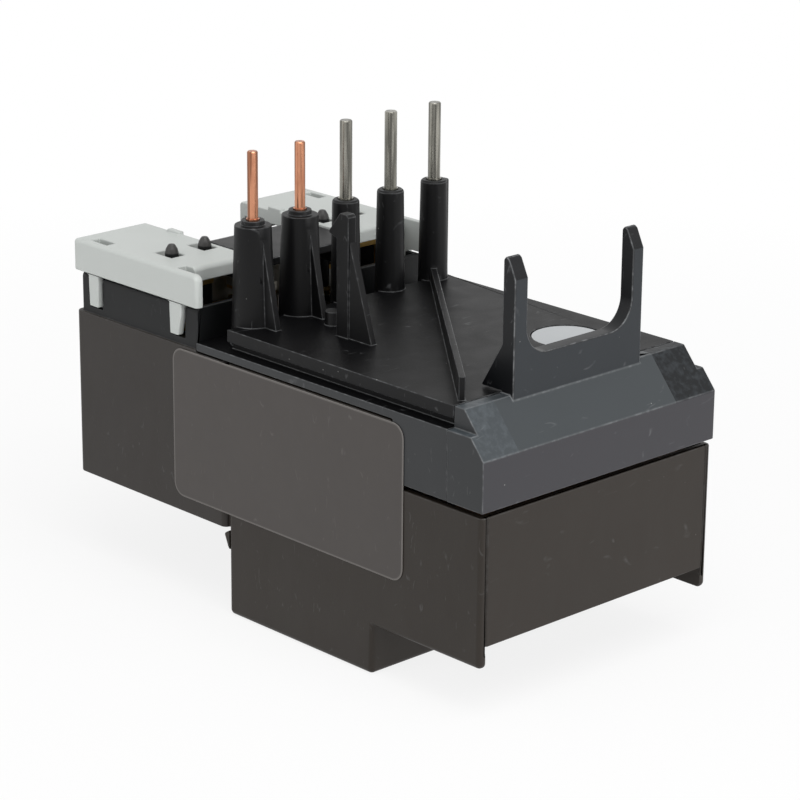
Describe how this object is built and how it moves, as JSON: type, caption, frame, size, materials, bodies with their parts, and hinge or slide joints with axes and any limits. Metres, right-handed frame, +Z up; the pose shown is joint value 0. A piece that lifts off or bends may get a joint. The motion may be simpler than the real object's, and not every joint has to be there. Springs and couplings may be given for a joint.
{
  "type": "thermal overload relay",
  "caption": "Plug-on thermal overload relay: moulded housing with connecting pins on top, rear fork, light terminal covers, dial, push buttons and screw clamps.",
  "frame": {"origin": "middle of the footprint at the level of the terminal block's underside", "axes": "+X to the relay's right seen from its front, +Y from the front to the rear, +Z up along the connecting pins"},
  "size_m": [0.045, 0.091, 0.0681],
  "materials": {
    "base_housing": "satin black-brown moulding",
    "front_housing": "satin black-brown moulding",
    "front_bezel": "satin black moulding",
    "top_lid": "satin charcoal moulding",
    "rear_cover": "fine-textured charcoal moulding",
    "cover_grey": "light grey moulding",
    "label": "glossy film",
    "sticker": "silver-grey film",
    "copper": "bright drawn copper",
    "tinned": "tinned wire",
    "copper_bar": "stamped copper",
    "bimetal": "rolled strip",
    "heater": "resistance ribbon",
    "zinc_steel": "zinc-plated steel",
    "contact_brass": "stamped brass",
    "carrier": "moulded insulator",
    "slide": "natural moulding",
    "lever": "natural moulding",
    "dial_grey": "light grey moulding",
    "reset_blue": "blue moulding",
    "stop_red": "red moulding",
    "spring_steel": "spring wire",
    "flag_orange": "orange moulding"
  },
  "bodies": {
    "relay": {"base_housing": "base_housing", "front_housing": "front_housing", "front_bezel": "front_bezel", "top_lid": "top_lid", "rear_cover": "rear_cover", "rating_label": "label", "date_sticker": "sticker", "terminal_cover_left": "cover_grey", "terminal_cover_right": "cover_grey", "coil_link": "copper", "auxiliary_link": "copper", "bimetal_carrier": "carrier", "control_clamps": "zinc_steel", "control_screws": "zinc_steel", "no_contacts": "contact_brass", "nc_contacts": "contact_brass", "link_plates": "contact_brass", "mechanism_frame": "carrier", "reset_spring": "spring_steel", "stop_spring": "spring_steel", "snap_spring": "spring_steel", "main_pin_left": "tinned", "terminal_bar_left": "copper_bar", "bimetal_strip_left": "bimetal", "heater_winding_left": "heater", "main_pin_middle": "tinned", "terminal_bar_middle": "copper_bar", "bimetal_strip_middle": "bimetal", "heater_winding_middle": "heater", "main_pin_right": "tinned", "terminal_bar_right": "copper_bar", "bimetal_strip_right": "bimetal", "heater_winding_right": "heater"},
    "drive_slide": {"drive_slide": "slide"},
    "differential_slide": {"differential_slide": "slide"},
    "trip_lever": {"trip_lever": "lever", "compensation_strip": "bimetal"},
    "rocker": {"trip_rocker": "lever", "nc_bridge": "contact_brass", "no_bridge": "contact_brass", "trip_flag": "flag_orange"},
    "dial": {"current_dial": "dial_grey", "dial_cam": "lever"},
    "adjusting_lever": {"adjusting_lever": "lever"},
    "reset_button": {"reset_button": "reset_blue"},
    "stop_button": {"stop_button": "stop_red"},
    "main_clamp_left": {"main_clamp_left": "zinc_steel"},
    "main_screw_left": {"main_screw_left": "zinc_steel"},
    "main_clamp_middle": {"main_clamp_middle": "zinc_steel"},
    "main_screw_middle": {"main_screw_middle": "zinc_steel"},
    "main_clamp_right": {"main_clamp_right": "zinc_steel"},
    "main_screw_right": {"main_screw_right": "zinc_steel"}
  },
  "joints": [
    {"name": "drive_slide_travel", "type": "slide", "parent": "relay", "child": "drive_slide", "axis": [1, 0, 0], "range_m": [0, 0.0012], "stiffness_N_per_m": 300},
    {"name": "differential_slide_travel", "type": "slide", "parent": "relay", "child": "differential_slide", "axis": [1, 0, 0], "range_m": [0, 0.0012]},
    {"name": "trip_lever_swing", "type": "hinge", "parent": "relay", "child": "trip_lever", "pos_m": [-0.001, -0.0085, 0.03], "axis": [0, 0, -1], "range_deg": [0, 9.41]},
    {"name": "rocker_snap", "type": "hinge", "parent": "relay", "child": "rocker", "pos_m": [0, -0.02, 0.042], "axis": [0, 1, 0], "range_deg": [0, 11.01]},
    {"name": "dial_turn", "type": "hinge", "parent": "relay", "child": "dial", "pos_m": [0, -0.04, 0.024], "axis": [0, 1, 0], "range_deg": [0, 240]},
    {"name": "adjusting_lever_swing", "type": "hinge", "parent": "relay", "child": "adjusting_lever", "pos_m": [-0.0054, -0.03, 0.0179], "axis": [0, -1, 0], "range_deg": [0, 11.79]},
    {"name": "reset_press", "type": "slide", "parent": "relay", "child": "reset_button", "axis": [0, 1, 0], "range_m": [0, 0.0022], "stiffness_N_per_m": 300, "deforming": ["reset_spring"]},
    {"name": "stop_press", "type": "slide", "parent": "relay", "child": "stop_button", "axis": [0, 1, 0], "range_m": [0, 0.0022], "stiffness_N_per_m": 300, "deforming": ["stop_spring"]},
    {"name": "main_screw_left_turn", "type": "hinge", "parent": "relay", "child": "main_screw_left", "pos_m": [-0.014, 0, 0.0056], "axis": [0, 1, 0], "range_deg": [0, 2071]},
    {"name": "main_clamp_left_travel", "type": "slide", "parent": "relay", "child": "main_clamp_left", "axis": [0, -1, 0], "range_m": [0, 0.0046]},
    {"name": "main_screw_middle_turn", "type": "hinge", "parent": "relay", "child": "main_screw_middle", "pos_m": [0, 0, 0.0056], "axis": [0, 1, 0], "range_deg": [0, 2071]},
    {"name": "main_clamp_middle_travel", "type": "slide", "parent": "relay", "child": "main_clamp_middle", "axis": [0, -1, 0], "range_m": [0, 0.0046]},
    {"name": "main_screw_right_turn", "type": "hinge", "parent": "relay", "child": "main_screw_right", "pos_m": [0.014, 0, 0.0056], "axis": [0, 1, 0], "range_deg": [0, 2071]},
    {"name": "main_clamp_right_travel", "type": "slide", "parent": "relay", "child": "main_clamp_right", "axis": [0, -1, 0], "range_m": [0, 0.0046]}
  ],
  "couplings": [
    {"joint": "differential_slide_travel", "follows": "drive_slide_travel", "ratio": 1},
    {"joint": "trip_lever_swing", "follows": "drive_slide_travel", "rad_per_m": 136.72},
    {"joint": "rocker_snap", "follows": "drive_slide_travel", "rad_per_m": 159.99},
    {"joint": "adjusting_lever_swing", "follows": "dial_turn", "ratio": 0.04905},
    {"joint": "main_screw_left_turn", "follows": "main_clamp_left_travel", "rad_per_m": 7854},
    {"joint": "main_screw_middle_turn", "follows": "main_clamp_middle_travel", "rad_per_m": 7854},
    {"joint": "main_screw_right_turn", "follows": "main_clamp_right_travel", "rad_per_m": 7854}
  ]
}
